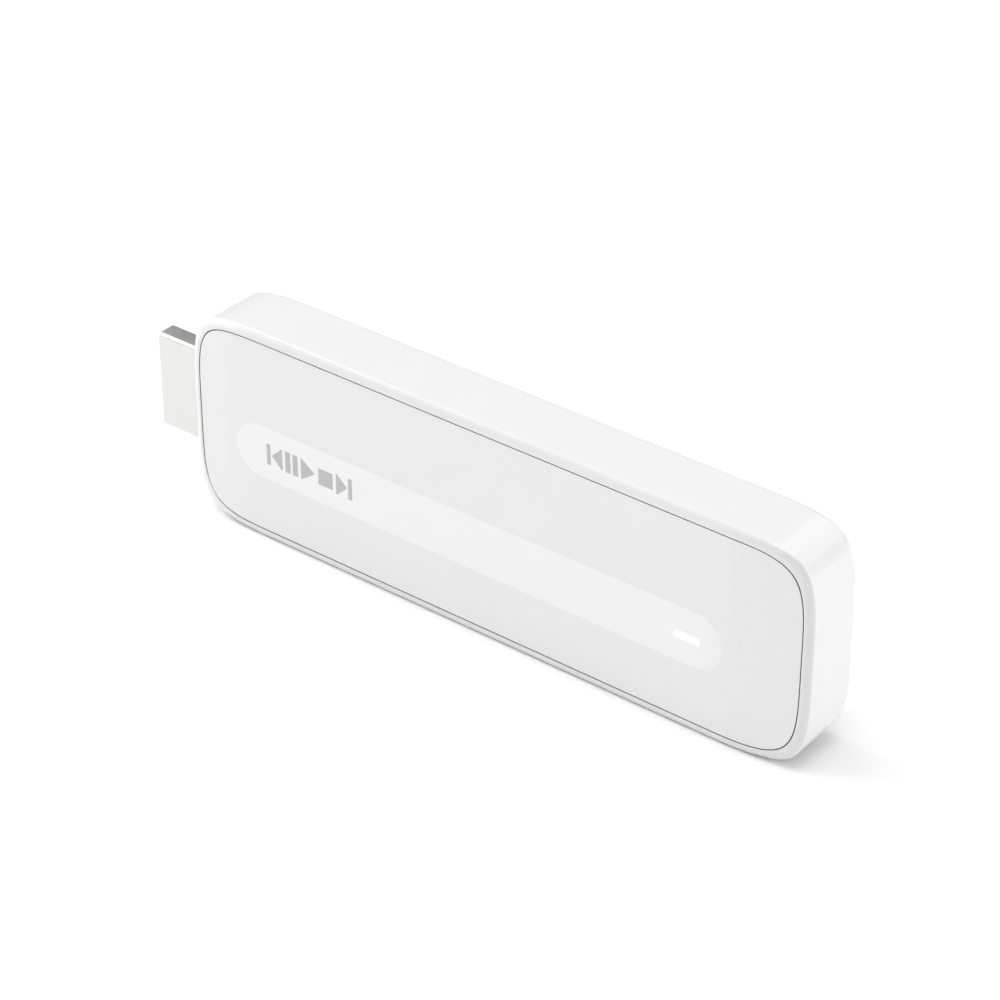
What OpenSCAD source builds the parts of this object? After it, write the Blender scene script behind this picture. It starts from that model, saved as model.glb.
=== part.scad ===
// Streaming media player stick: a white two-piece case with an HDMI plug at one end.
// +X runs from the plug to the far end, -Y is the front cover's side, +Z is up across the width.
// The stick stands on its lower long side, with the origin under the middle of its box.

/* [Case] */
// Length of the case without the plug
body_l = 95.4; // [92:0.1:100]
// Width of the case, which is its height as it stands
body_h = 30.6; // [29.6:0.1:33]
// Thickness of the case from front to back
body_t = 10.6; // [10.4:0.1:12]
// Radius of the four corners seen from the front
corner_r = 6.8; // [6.6:0.1:8]
// Radius of the edge round the back
back_r = 1.5; // [0.8:0.1:1.8]
// Thickness of the side walls
wall = 1.8; // [1.6:0.1:2]
// Thickness of the back wall
back_wall = 1.4; // [1.2:0.1:1.6]
// Width of the sloping rim round the front cover
rim_w = 1.25; // [1.1:0.05:1.5]
// How far the rim's outer edge lies behind its inner edge
rim_drop = 0.55; // [0.3:0.05:0.8]

/* [Front cover] */
// Thickness of the cover
cover_t = 1.2; // [1.1:0.1:1.4]
// Open seam between the cover and the rim
seam = 0.14; // [0.06:0.02:0.2]
// Width of each snap tab
tab_w = 5; // [3:0.5:6]
// How far a snap tab reaches behind the cover
tab_reach = 2.2; // [1.8:0.1:2.4]

/* [Light strip] */
// Length of the inlaid strip
strip_l = 75.8; // [60:0.1:80]
// Height of the inlaid strip
strip_h = 7.8; // [6:0.1:10]
// Thickness of the inlaid strip
strip_t = 0.6; // [0.4:0.1:0.7]
// Offset of the strip's middle from the case's middle, along the length
strip_x = -2; // [-4:0.1:0]
// How far the strip's middle lies below the case's middle
strip_low = 2.05; // [0:0.05:4]

/* [Status light] */
// Length of the light slot
slot_l = 3.7; // [3:0.1:5]
// Height of the light slot
slot_h = 1; // [0.8:0.1:1.4]
// Distance of the slot's middle from the case's middle, along the length
slot_x = 30.8; // [27:0.1:31]
// How far the slot's middle lies below the case's middle
slot_low = 2.2; // [1:0.05:4]

/* [HDMI plug] */
// Length of the plug that shows outside the case
plug_l = 8.3; // [7:0.1:12]
// Width of the plug's wide face, a standard size
plug_w = 13.9; // [13.8:0.05:14]
// Width of the plug's narrow face
plug_narrow = 10.9; // [10:0.1:11.6]
// Thickness of the plug, a standard size
plug_t = 4.45; // [4.4:0.05:4.5]
// Depth of the full-width part, from the wide face
plug_square = 2.6; // [2.2:0.1:3]
// Corner radius of the plug
plug_r = 0.5; // [0.4:0.05:0.7]
// Thickness of the plug's sheet metal
plug_sheet = 0.3; // [0.25:0.05:0.35]
// Offset of the plug and the board from the case's middle plane
plug_y = -0.15; // [-0.3:0.05:0]

/* [Circuit board] */
// Thickness of the board
pcb_t = 1; // [0.8:0.1:1.2]
// Clearance from the board's edge to the case wall
pcb_gap = 0.6; // [0.4:0.1:1]

/* [Power socket] */
// Width of the socket's metal shell, a standard size
usb_w = 8.94; // [8.9:0.02:9]
// Thickness of the socket's metal shell, a standard size
usb_t = 3.16; // [3.1:0.02:3.2]
// Depth of the socket
usb_d = 7.3; // [6.5:0.1:8]
// Distance of the socket from the case's middle, along the length
usb_x = 18; // [17:0.1:20]

/* [Reset button] */
// Diameter of the button's face
button_d = 3; // [2.4:0.1:3.4]
// Travel of the button
button_travel = 0.3; // [0.2:0.05:0.35]
// Diameter of the finger dish round the button
dish_d = 6.4; // [5:0.1:7]
// Depth of the finger dish
dish_depth = 0.5; // [0.3:0.1:0.6]
// Distance of the button from the case's middle, along the length
button_x = 32; // [29:0.1:34]

/* [Vents] */
// Number of vent slots in the back
vent_count = 9; // [1:1:11]
// Height of a vent slot
vent_h = 6; // [3:0.5:8]
// Width of a vent slot
vent_w = 1; // [0.6:0.1:1.2]
// Distance from one slot to the next
vent_pitch = 2.8; // [2.4:0.1:3.2]

/* [Hidden] */
$fn = 64;

// How far shapes that make one solid run into each other, and how far a cut runs past its solid.
fuse = 0.1;
cut = 1;

half_l = body_l / 2;
half_h = body_h / 2;
front_y = -body_t / 2;
back_y = body_t / 2;
cover_back_y = front_y + cover_t;
back_in_y = back_y - back_wall;
cavity_l = body_l - 2 * wall;
cavity_h = body_h - 2 * wall;
cavity_r = corner_r - wall;
opening_l = body_l - 2 * rim_w;
opening_h = body_h - 2 * rim_w;
opening_r = corner_r - rim_w;

// The board lies in the plug's middle plane.
pcb_front = plug_y - pcb_t / 2;
pcb_back = plug_y + pcb_t / 2;
plug_tip = -half_l - plug_l;
plug_inside = 3.4;
plug_clear = 0.1;
plug_end = -half_l + wall + plug_inside;
plug_mouth = 0.6;
slot_depth = 6.6;
insulator_end = plug_end - 0.2;
contact_pitch = 1;
contact_w = 0.42;
contact_row = 0.93;
contact_t = 0.2;
tail_l = 2.2;
front_contacts = 10;
back_contacts = 9;
pcb_left = plug_end + 0.2;
pcb_right = half_l - wall - pcb_gap;
pcb_half_h = cavity_h / 2 - pcb_gap;
pcb_r = cavity_r - pcb_gap;

// The light on the board shines into a clear pipe that fills the slot.
slot_r = 0.3;
slot_clear = 0.05;
strip_clear = 0.03;
led_t = 0.7;

// The screws stand in bosses on the back wall.
screw_spots = [[-36, 9.4], [-36, -9.4], [40.6, 8.4], [40.6, -8.4]];
boss_r = 2.1;
pilot_r = 0.7;
pilot_depth = 2.8;
screw_hole_r = 0.95;
screw_head_r = 1.5;
screw_head_t = 0.8;

// The cover's tabs hook into pockets in the long walls.
tab_spots = [[-30, 1], [-6, 1], [14, 1], [-30, -1], [-12, -1], [6, -1]];
tab_t = 0.9;
tab_clear = 0.1;
barb = 0.35;
barb_h = 0.6;
pocket_depth = 0.55;
pocket_clear = 0.2;

// The power socket lies half sunk in a notch of the board.
notch_clear = 0.15;
usb_clear = 0.17;
usb_sheet = 0.25;
usb_mouth_z = -half_h + 0.6;
usb_end_z = usb_mouth_z + usb_d;
usb_tongue_w = 6.69;
usb_tongue_t = 0.7;
usb_tongue_l = 4.6;
usb_back_wall = 1.6;
usb_ear = 1.1;
usb_ear_in = 0.6;
usb_ear_t = 0.3;
usb_ear_w = 1.5;
usb_ear_spots = [1.9, 4.9];
usb_chamfer = 0.35;

// The button slides in a bore through the lower wall and pushes the switch behind it.
button_y = (front_y + rim_drop + back_y - back_r) / 2;
button_clear = 0.05;
button_face_z = -half_h + dish_depth / 2;
flange_r = 2.1;
flange_t = 0.6;
flange_z = -half_h + wall + 0.02;
plunger_r = 0.6;
plunger_in = 1.15;
switch_w = 4.6;
switch_t = 2.2;
switch_gap = button_travel + 0.1;
switch_z = flange_z + flange_t + switch_gap;
switch_d = 2.8;
switch_bore = plunger_in + button_travel + 0.1;
switch_ear = 1.1;
switch_ear_t = 0.3;
switch_ear_w = 1.2;
switch_ear_z = 0.8;
dish_r = (pow(dish_d / 2, 2) + pow(dish_depth, 2)) / (2 * dish_depth);

// Chip positions on the board, from the middle of the case.
processor_spot = [-8.5, 1];
processor_size = 14;
processor_t = 1.2;
memory_spots = [[5.4, 5.9], [5.4, -3.9]];
memory_size = [8, 8.6];
memory_t = 1.1;
fence_spot = [-3, 1];
fence_size = [30, 20.4];
fence_h = 1.6;
fence_sheet = 0.2;
spreader_spot = [-4, 1];
spreader_size = [52, 21];
spreader_t = 0.6;
module_spot = [31, 1];
module_size = 12;
module_t = 0.8;
module_can_h = 1.5;
can_inset = 0.5;
ceramic_size = [1, 0.5];
ceramic_t = 0.5;

// Puts geometry laid out from the case's middle into the part's own frame.
module place() {
  translate([plug_l / 2, 0, half_h]) children();
}

// Stands an outline, drawn as length by height, from depth y0 back to depth y1.
module slab(y0, y1) {
  translate([0, y1, 0]) rotate([90, 0, 0]) linear_extrude(height = y1 - y0) children();
}

// Runs a section, drawn as depth by height, along the length.
module along_x(x0, x1) {
  translate([x0, 0, 0]) rotate([90, 0, 90]) linear_extrude(height = x1 - x0) children();
}

// Runs a section, drawn as length by depth, upwards.
module along_z(z0, z1) {
  translate([0, 0, z0]) linear_extrude(height = z1 - z0) children();
}

module rounded_rect(w, h, r) {
  square([w, h - 2 * r], center = true);
  square([w - 2 * r, h], center = true);
  for (sx = [-1, 1], sy = [-1, 1]) translate([sx * (w / 2 - r), sy * (h / 2 - r)]) circle(r);
}

module stadium(w, h) {
  square([w - h, h], center = true);
  for (s = [-1, 1]) translate([s * (w - h) / 2, 0]) circle(h / 2);
}

// A box on the board: side -1 is the board's front and side 1 is its back.
module on_board(spot, size, t, side) {
  y0 = side < 0 ? pcb_front - t : pcb_back;
  translate([spot[0] - size[0] / 2, y0, spot[1] - size[1] / 2]) cube([size[0], t, size[1]]);
}

// Half of the case's section: outwards along x and from front to back along y.
module edge_section(half) {
  polygon([
    [0, front_y], [half - rim_w, front_y], [half, front_y + rim_drop],
    [half, back_y - back_r], [half - back_r, back_y], [0, back_y]
  ]);
  translate([half - back_r, back_y - back_r]) circle(back_r);
}

module case_section(half) {
  edge_section(half);
  mirror([1, 0]) edge_section(half);
}

// The solid that the case would be: a cross of two runs and a quarter turn at each corner.
module case_block() {
  corners = [[1, -1], [-1, -1], [-1, 1], [1, 1]];
  along_x(-(half_l - corner_r), half_l - corner_r) mirror([1, -1]) case_section(half_h);
  along_z(-(half_h - corner_r), half_h - corner_r) case_section(half_l);
  for (i = [0:3])
    translate([corners[i][0] * (half_l - corner_r), 0, corners[i][1] * (half_h - corner_r)])
      rotate([-90, 0, 0]) rotate([0, 0, 90 * i]) rotate_extrude(angle = 90) edge_section(corner_r);
}

// Six corner centres of the plug's outline, as depth by height, for a given corner radius.
function plug_centres() = let (
    y0 = plug_y - plug_t / 2 + plug_r,
    y1 = plug_y - plug_t / 2 + plug_square,
    y2 = plug_y + plug_t / 2 - plug_r,
    wide = plug_w / 2 - plug_r,
    narrow = plug_narrow / 2 - plug_r
  ) [[y0, -wide], [y1, -wide], [y2, -narrow], [y2, narrow], [y1, wide], [y0, wide]];

// Outward unit normal of edge i of a loop that runs counter-clockwise.
function edge_normal(loop, i) = let (
    n = len(loop),
    a = loop[(i + n) % n],
    b = loop[(i + 1 + n) % n],
    d = b - a
  ) [d[1], -d[0]] / norm(d);

// A convex loop of corner centres, grown outwards by r with round corners.
module rounded_loop(loop, r) {
  polygon([
    for (i = [0:len(loop) - 1]) for (k = [i - 1, i]) loop[i] + r * edge_normal(loop, k)
  ]);
  for (c = loop) translate(c) circle(r);
}

module plug_outline(inset) {
  rounded_loop(plug_centres(), plug_r - inset);
}

// The window that the plug comes out of: the plug's outline with clearance and sharp corners.
module plug_window() {
  loop = plug_centres();
  polygon([
    for (i = [0:len(loop) - 1])
      let (a = edge_normal(loop, i - 1), b = edge_normal(loop, i))
        loop[i] + (plug_r + plug_clear) * (a + b) / (1 + a * b)
  ]);
}

// Case halves

module snap_pockets() {
  w = tab_w + 2 * pocket_clear;
  pocket_y = cover_back_y + tab_reach - barb_h - 2 * pocket_clear;
  for (s = tab_spots) {
    z = s[1] > 0 ? cavity_h / 2 - fuse : -cavity_h / 2 - pocket_depth;
    translate([s[0] - w / 2, pocket_y, z])
      cube([w, barb_h + 3 * pocket_clear, pocket_depth + fuse]);
  }
}

module vent_slots() {
  for (i = [0:vent_count - 1])
    translate([spreader_spot[0] + (i - (vent_count - 1) / 2) * vent_pitch, 0, spreader_spot[1]])
      slab(back_in_y - cut, back_y + cut) rotate([0, 0, 90]) stadium(vent_h, vent_w);
}

// A cut up to height z1 through the lower wall, with clearance round the power socket.
module socket_window(z1, clear) {
  translate([usb_x, plug_y, 0])
    along_z(-half_h - cut, z1) stadium(usb_w + 2 * clear, usb_t + 2 * clear);
}

module rear_shell() {
  color("white") place() difference() {
    union() {
      difference() {
        case_block();
        slab(front_y - cut, cover_back_y) rounded_rect(opening_l, opening_h, opening_r);
        slab(cover_back_y - cut, back_in_y) rounded_rect(cavity_l, cavity_h, cavity_r);
      }
      for (s = screw_spots) translate([s[0], 0, s[1]]) slab(pcb_back, back_in_y + fuse) circle(boss_r);
    }
    for (s = screw_spots)
      translate([s[0], 0, s[1]]) slab(pcb_back - cut, pcb_back + pilot_depth) circle(pilot_r);
    along_x(-half_l - cut, -half_l + wall + cut) plug_window();
    snap_pockets();
    vent_slots();
    socket_window(-half_h + wall + cut, usb_clear);
    socket_window(-half_h + usb_chamfer, usb_clear + usb_chamfer);
    translate([button_x, button_y, -half_h - cut])
      cylinder(r = button_d / 2 + button_clear, h = wall + 2 * cut);
    translate([button_x, button_y, -half_h + dish_depth - dish_r]) sphere(dish_r);
  }
}

// A tab stands at x inside the wall on one side, 1 for the upper and -1 for the lower.
module snap_tab(x, side) {
  face_z = cavity_h / 2 - tab_clear;
  tab_z = side > 0 ? face_z - tab_t : -face_z;
  barb_z = side > 0 ? face_z - fuse : -face_z - barb;
  translate([x - tab_w / 2, cover_back_y - fuse, tab_z]) cube([tab_w, tab_reach + fuse, tab_t]);
  translate([x - tab_w / 2, cover_back_y + tab_reach - barb_h, barb_z]) cube([tab_w, barb_h, barb + fuse]);
}

// The hole for the light through the cover and the strip.
module slot_hole() {
  translate([slot_x, 0, -slot_low])
    slab(front_y - cut, cover_back_y + cut)
      rounded_rect(slot_l + 2 * slot_clear, slot_h + 2 * slot_clear, slot_r + slot_clear);
}

module front_cover() {
  color("whitesmoke") place() difference() {
    union() {
      slab(front_y, cover_back_y)
        rounded_rect(opening_l - 2 * seam, opening_h - 2 * seam, opening_r - seam);
      for (s = tab_spots) snap_tab(s[0], s[1]);
    }
    translate([strip_x, 0, -strip_low]) slab(front_y - cut, front_y + strip_t) stadium(strip_l, strip_h);
    slot_hole();
  }
}

module light_strip() {
  color("white") place() difference() {
    translate([strip_x, 0, -strip_low])
      slab(front_y, front_y + strip_t) stadium(strip_l - 2 * strip_clear, strip_h - 2 * strip_clear);
    slot_hole();
  }
}

// A clear nose fills the slot, a flange rests behind the cover and a stem reaches the light.
module light_pipe() {
  flange_back = cover_back_y + 0.7;
  flange_out = 0.8;
  stem_back = pcb_front - led_t - 0.2;
  color("white") place() translate([slot_x, 0, -slot_low]) {
    slab(front_y + 0.05, stem_back) rounded_rect(slot_l, slot_h, slot_r);
    slab(cover_back_y, flange_back)
      rounded_rect(slot_l + 2 * flange_out, slot_h + 2 * flange_out, 2 * slot_r);
  }
}

// Board and its screws

module main_board() {
  length = pcb_right - pcb_left;
  color("darkgreen") place() difference() {
    translate([(pcb_left + pcb_right) / 2, 0, 0])
      slab(pcb_front, pcb_back) rounded_rect(length, 2 * pcb_half_h, pcb_r);
    for (s = screw_spots)
      translate([s[0], 0, s[1]]) slab(pcb_front - cut, pcb_back + cut) circle(screw_hole_r);
    board_notch(usb_x, usb_w + 2 * notch_clear, usb_end_z + notch_clear);
    board_notch(button_x, switch_w + 4 * notch_clear, switch_z + switch_d + notch_clear);
  }
}

// A notch in the board's lower edge, up to height top, for a part that lies half sunk in it.
module board_notch(x, w, top) {
  translate([x - w / 2, pcb_front - cut, -half_h]) cube([w, pcb_t + 2 * cut, top + half_h]);
}

module board_screws() {
  socket_r = 0.5;
  tip_gap = 0.3;
  for (s = screw_spots)
    color("silver") place() translate([s[0], 0, s[1]]) difference() {
      union() {
        slab(pcb_front - screw_head_t, pcb_front) circle(screw_head_r);
        slab(pcb_front - fuse, pcb_back + pilot_depth - tip_gap) circle(pilot_r);
      }
      slab(pcb_front - screw_head_t - cut, pcb_front - screw_head_t / 2) circle(socket_r, $fn = 6);
    }
}

// HDMI plug

module hdmi_plug_shell() {
  color("lightgray") place() along_x(plug_tip, plug_end) difference() {
    plug_outline(0);
    plug_outline(plug_sheet);
  }
}

// One contact blade of the front row, side -1, or the back row, side 1. Its tail steps down to the
// board's face.
module contact_blade(z, side) {
  blade_y = side > 0 ? contact_row : -contact_row - contact_t;
  step_y = side > 0 ? pcb_t / 2 : -contact_row - contact_t;
  tail_y = side > 0 ? pcb_t / 2 : -pcb_t / 2 - contact_t;
  step_t = contact_row + contact_t - pcb_t / 2;
  blade_x = plug_tip + 2 * plug_mouth;
  translate([0, plug_y, z - contact_w / 2]) {
    translate([blade_x, blade_y, 0]) cube([insulator_end - blade_x + fuse, contact_t, contact_w]);
    translate([insulator_end, step_y, 0]) cube([contact_t, step_t, contact_w]);
    translate([insulator_end, tail_y, 0]) cube([tail_l, contact_t, contact_w]);
  }
}

module contact_rows() {
  for (i = [0:front_contacts - 1]) contact_blade((i - (front_contacts - 1) / 2) * contact_pitch, -1);
  for (i = [0:back_contacts - 1]) contact_blade((i - (back_contacts - 1) / 2) * contact_pitch, 1);
}

module hdmi_plug_insulator() {
  mouth_w = 11.4;
  color("black") place() difference() {
    along_x(plug_tip + plug_mouth, insulator_end) plug_outline(plug_sheet);
    translate([plug_tip, plug_y - contact_row - contact_t / 2, -mouth_w / 2])
      cube([plug_mouth + slot_depth, 2 * contact_row + contact_t, mouth_w]);
    contact_rows();
  }
}

module hdmi_plug_contacts() {
  color("gold") place() contact_rows();
}

// Power socket

module power_socket_shell() {
  color("silver") place() translate([usb_x, plug_y, 0]) difference() {
    union() {
      along_z(usb_mouth_z, usb_end_z) stadium(usb_w, usb_t);
      for (ear_x = [-usb_w / 2 - usb_ear, usb_w / 2 - usb_ear_in], z = usb_ear_spots)
        translate([ear_x, -pcb_t / 2 - usb_ear_t, usb_mouth_z + z])
          cube([usb_ear + usb_ear_in, usb_ear_t, usb_ear_w]);
    }
    along_z(usb_mouth_z - cut, usb_end_z - usb_sheet)
      stadium(usb_w - 2 * usb_sheet, usb_t - 2 * usb_sheet);
  }
}

// Two rows of twelve pads, let into both faces of the tongue.
module socket_pads() {
  pad_l = 3.2;
  pad_w = 0.24;
  pad_t = 0.08;
  pad_pitch = 0.5;
  pad_gap = 1.2;
  for (i = [0:11], y = [-usb_tongue_t / 2, usb_tongue_t / 2 - pad_t])
    translate([(i - 5.5) * pad_pitch - pad_w / 2, y, usb_mouth_z + pad_gap]) cube([pad_w, pad_t, pad_l]);
}

module power_socket_tongue() {
  block_z = usb_end_z - usb_sheet - usb_back_wall;
  tongue_z = block_z - usb_tongue_l;
  color("dimgray") place() translate([usb_x, plug_y, 0]) difference() {
    union() {
      along_z(block_z, usb_end_z - usb_sheet) stadium(usb_w - 2 * usb_sheet, usb_t - 2 * usb_sheet);
      translate([-usb_tongue_w / 2, -usb_tongue_t / 2, tongue_z])
        cube([usb_tongue_w, usb_tongue_t, usb_tongue_l + fuse]);
    }
    socket_pads();
  }
}

module power_socket_contacts() {
  color("gold") place() translate([usb_x, plug_y, 0]) socket_pads();
}

// Reset button and its switch

module reset_button() {
  color("white") place() translate([button_x, button_y, 0]) {
    translate([0, 0, button_face_z]) cylinder(r = button_d / 2, h = flange_z - button_face_z + fuse);
    translate([0, 0, flange_z]) cylinder(r = flange_r, h = flange_t);
  }
}

module switch_plunger() {
  color("black") place() translate([button_x, button_y, flange_z + flange_t])
    cylinder(r = plunger_r, h = switch_gap + plunger_in);
}

module tact_switch() {
  span = switch_w + 2 * switch_ear;
  color("darkslategray") place() difference() {
    union() {
      translate([button_x - switch_w / 2, button_y - switch_t / 2, switch_z])
        cube([switch_w, switch_t, switch_d]);
      translate([button_x - span / 2, pcb_front - switch_ear_t, switch_z + switch_ear_z])
        cube([span, switch_ear_t, switch_ear_w]);
    }
    translate([button_x, button_y, switch_z - cut])
      cylinder(r = plunger_r + button_clear, h = switch_bore + cut);
  }
}

// Chips and other parts soldered to the board

module processor_chip() {
  color("dimgray") place() on_board(processor_spot, [processor_size, processor_size], processor_t, 1);
}

module memory_chips() {
  for (s = memory_spots) color("dimgray") place() on_board(s, memory_size, memory_t, 1);
}

module storage_chip() {
  color("dimgray") place() on_board([-8, 2], [11.5, 13], 1, -1);
}

module power_chip() {
  color("dimgray") place() on_board([9, 2], [5, 5], 0.9, -1);
}

module power_inductors() {
  for (s = [[20, 8], [20, 2.6], [25.4, 8]])
    color("gray") place() on_board(s, [4, 4], 2, -1);
}

module bulk_capacitors() {
  for (s = [[14.6, 8.4], [14.6, 2.6]])
    color("goldenrod") place() on_board(s, [3.5, 2.8], 1.9, -1);
}

module ceramic_capacitors() {
  for (i = [0:3], j = [0:2])
    color("tan") place()
      on_board([-26 + 1.8 * i, -4 + 2.4 * j], ceramic_size, ceramic_t, -1);
}

module protection_chips() {
  for (z = [-3.2, 3.2]) color("dimgray") place() on_board([-33, z], [3.5, 2.5], 0.8, -1);
}

module crystal() {
  color("silver") place() on_board([-20, 8], [3.2, 2.5], 0.8, -1);
}

module status_led() {
  color("ivory") place() on_board([slot_x, -slot_low], [1.6, 0.8], led_t, -1);
}

module shield_fence() {
  inner = [fence_size[0] - 2 * fence_sheet, fence_size[1] - 2 * fence_sheet];
  color("silver") place() translate([fence_spot[0], 0, fence_spot[1]])
    slab(pcb_back, pcb_back + fence_h) difference() {
      square(fence_size, center = true);
      square(inner, center = true);
    }
}

module shield_lid() {
  color("silver") place() translate([fence_spot[0], 0, fence_spot[1]])
    slab(pcb_back + fence_h, pcb_back + fence_h + fence_sheet) square(fence_size, center = true);
}

module chip_thermal_pad() {
  pad = processor_size - 1;
  color("lightblue") place() translate([processor_spot[0], 0, processor_spot[1]])
    slab(pcb_back + processor_t, pcb_back + fence_h) square([pad, pad], center = true);
}

module lid_thermal_pad() {
  color("lightblue") place() translate([processor_spot[0] + 4, 0, processor_spot[1]])
    slab(pcb_back + fence_h + fence_sheet, back_in_y - spreader_t) square([20, 14], center = true);
}

module heat_spreader() {
  color("silver") place() translate([spreader_spot[0], 0, spreader_spot[1]])
    slab(back_in_y - spreader_t, back_in_y) rounded_rect(spreader_size[0], spreader_size[1], 1);
}

module wireless_module() {
  color("green") place() on_board(module_spot, [module_size, module_size], module_t, 1);
}

module wireless_shield() {
  can = module_size - 2 * can_inset;
  color("silver") place() translate([module_spot[0], 0, module_spot[1]])
    slab(pcb_back + module_t, pcb_back + module_t + module_can_h) square([can, can], center = true);
}

// A stamped strip on two legs, drawn along its own length.
module antenna(length) {
  strip_w = 0.8;
  sheet = 0.3;
  rise = 2.4;
  leg_gap = 3;
  translate([-length / 2, pcb_front - rise, 0]) cube([length, sheet, strip_w]);
  for (x = [-length / 2, -length / 2 + leg_gap])
    translate([x, pcb_front - rise, 0]) cube([strip_w, rise, sheet]);
}

module wifi_antenna() {
  color("silver") place() translate([33, 0, pcb_half_h - 1.4]) antenna(12);
}

module bluetooth_antenna() {
  color("silver") place() translate([pcb_right - 1.6, 0, 0]) rotate([0, 90, 0]) antenna(9);
}

rear_shell();
front_cover();
light_strip();
light_pipe();
main_board();
board_screws();
hdmi_plug_shell();
hdmi_plug_insulator();
hdmi_plug_contacts();
power_socket_shell();
power_socket_tongue();
power_socket_contacts();
reset_button();
switch_plunger();
tact_switch();
processor_chip();
memory_chips();
storage_chip();
power_chip();
power_inductors();
bulk_capacitors();
ceramic_capacitors();
protection_chips();
crystal();
status_led();
shield_fence();
shield_lid();
chip_thermal_pad();
lid_thermal_pad();
heat_spreader();
wireless_module();
wireless_shield();
wifi_antenna();
bluetooth_antenna();
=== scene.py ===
import math

import bmesh
import bpy
import numpy as np
from mathutils import Matrix, Vector
from mathutils.geometry import delaunay_2d_cdt


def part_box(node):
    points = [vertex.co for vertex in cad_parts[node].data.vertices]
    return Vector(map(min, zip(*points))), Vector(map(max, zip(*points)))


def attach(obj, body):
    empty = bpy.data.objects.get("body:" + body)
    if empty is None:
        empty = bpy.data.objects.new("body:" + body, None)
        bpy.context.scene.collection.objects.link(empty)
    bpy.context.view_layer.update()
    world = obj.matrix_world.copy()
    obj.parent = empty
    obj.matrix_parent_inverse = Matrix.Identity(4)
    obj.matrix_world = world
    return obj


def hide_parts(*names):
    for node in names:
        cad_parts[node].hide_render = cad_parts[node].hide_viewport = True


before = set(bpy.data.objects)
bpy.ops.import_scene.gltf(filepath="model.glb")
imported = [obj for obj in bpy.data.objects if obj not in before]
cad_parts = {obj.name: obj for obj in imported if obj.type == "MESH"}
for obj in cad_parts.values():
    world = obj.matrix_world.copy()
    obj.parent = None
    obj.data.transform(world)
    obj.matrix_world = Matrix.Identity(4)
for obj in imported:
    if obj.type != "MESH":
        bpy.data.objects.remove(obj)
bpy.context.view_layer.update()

# ---------------------------------------------------------------------------------------------
# Case shell: the glossy white tub that holds everything, one moulding with a flat back. Its rim
# slopes back round the front cover, and it has windows for the plug, the power socket and the
# button, vent slots in the back, and four bosses that the board is screwed to.
# ---------------------------------------------------------------------------------------------
mm = 0.001
shell_low, shell_high = (np.array(corner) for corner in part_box("rear_shell"))
case_mid = (shell_low + shell_high) / 2
half_l, half_t, half_h = (shell_high - shell_low) / 2
wall = 1.8 * mm
back_wall = 1.4 * mm
corner_zone = 14.5 * mm
corner_power = 4.16
corner_swell = 0.37 * mm
back_radius = 1.5 * mm
rim_w = 1.25 * mm
rim_drop = 0.55 * mm
seat_y = -half_t + 1.2 * mm
fine_steps = 4001


def crown(x):
    """How far the front falls back at x, from the middle of the case: nothing on the flat, then
    drop * run^1.4 towards each end, from where the light strip stops."""
    zone = np.where(x < 0, 7.0 * mm, 10.5 * mm)
    drop = np.where(x < 0, 0.36 * mm, 0.6 * mm)
    run = np.clip((abs(x) - (half_l - rim_w - zone)) / zone, 0, 1)
    return drop * run**1.4


def middle(node):
    """Middle of a node's box, measured from the middle of the case."""
    low, high = (np.array(corner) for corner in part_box(node))
    return (low + high) / 2 - case_mid


def case_outline(steps):
    """The case's outline from the front, anticlockwise from the middle of the far end: straight sides
    joined by superellipse corners, (x / zone)^p + (z / zone)^p = 1 within each corner zone.
    Returns the arc length, x and z of its points."""
    turn = np.linspace(0, math.pi / 2, steps)
    x = half_l - corner_zone * (1 - np.cos(turn) ** (2 / corner_power))
    z = half_h - corner_zone * (1 - np.sin(turn) ** (2 / corner_power))
    all_x = np.concatenate([[half_l], x, -x[::-1], -x, x[::-1], [half_l]])
    all_z = np.concatenate([[0], z, z[::-1], -z, -z[::-1], [0]])
    length = np.concatenate([[0], np.cumsum(np.hypot(np.diff(all_x), np.diff(all_z)))])
    return length, all_x, all_z


outline_s, outline_x, outline_z = case_outline(fine_steps)
perimeter = outline_s[-1]


def skin(s, y, depth):
    """Points that lie depth inside the case's side surface, at arc length s round its outline and at y
    from its middle: the outline's point less depth times the superellipse's normal n there. Outside
    the rim's inner edge the corners swell by up to corner_swell times (2 nx nz)^2."""
    x = np.interp(s, outline_s, outline_x)
    z = np.interp(s, outline_s, outline_z)
    nx = np.sign(x) * np.clip(1 + (abs(x) - half_l) / corner_zone, 0, 1) ** (corner_power - 1)
    nz = np.sign(z) * np.clip(1 + (abs(z) - half_h) / corner_zone, 0, 1) ** (corner_power - 1)
    nx, nz = nx / np.hypot(nx, nz), nz / np.hypot(nx, nz)
    depth = depth - corner_swell * np.clip(1 - depth / rim_w, 0, 1) * (2 * nx * nz) ** 2
    parts = np.broadcast_arrays(x - depth * nx, y, z - depth * nz)
    return np.stack(parts, axis=-1) + case_mid


def bend(start, corner, end, steps):
    """Points of a quadratic curve that rounds a corner, (1 - t)^2 start + 2 t (1 - t) corner + t^2 end."""
    t = np.linspace(0, 1, steps)[:, None]
    start, corner, end = np.array(start), np.array(corner), np.array(end)
    return (1 - t) ** 2 * start + 2 * t * (1 - t) * corner + t**2 * end


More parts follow.
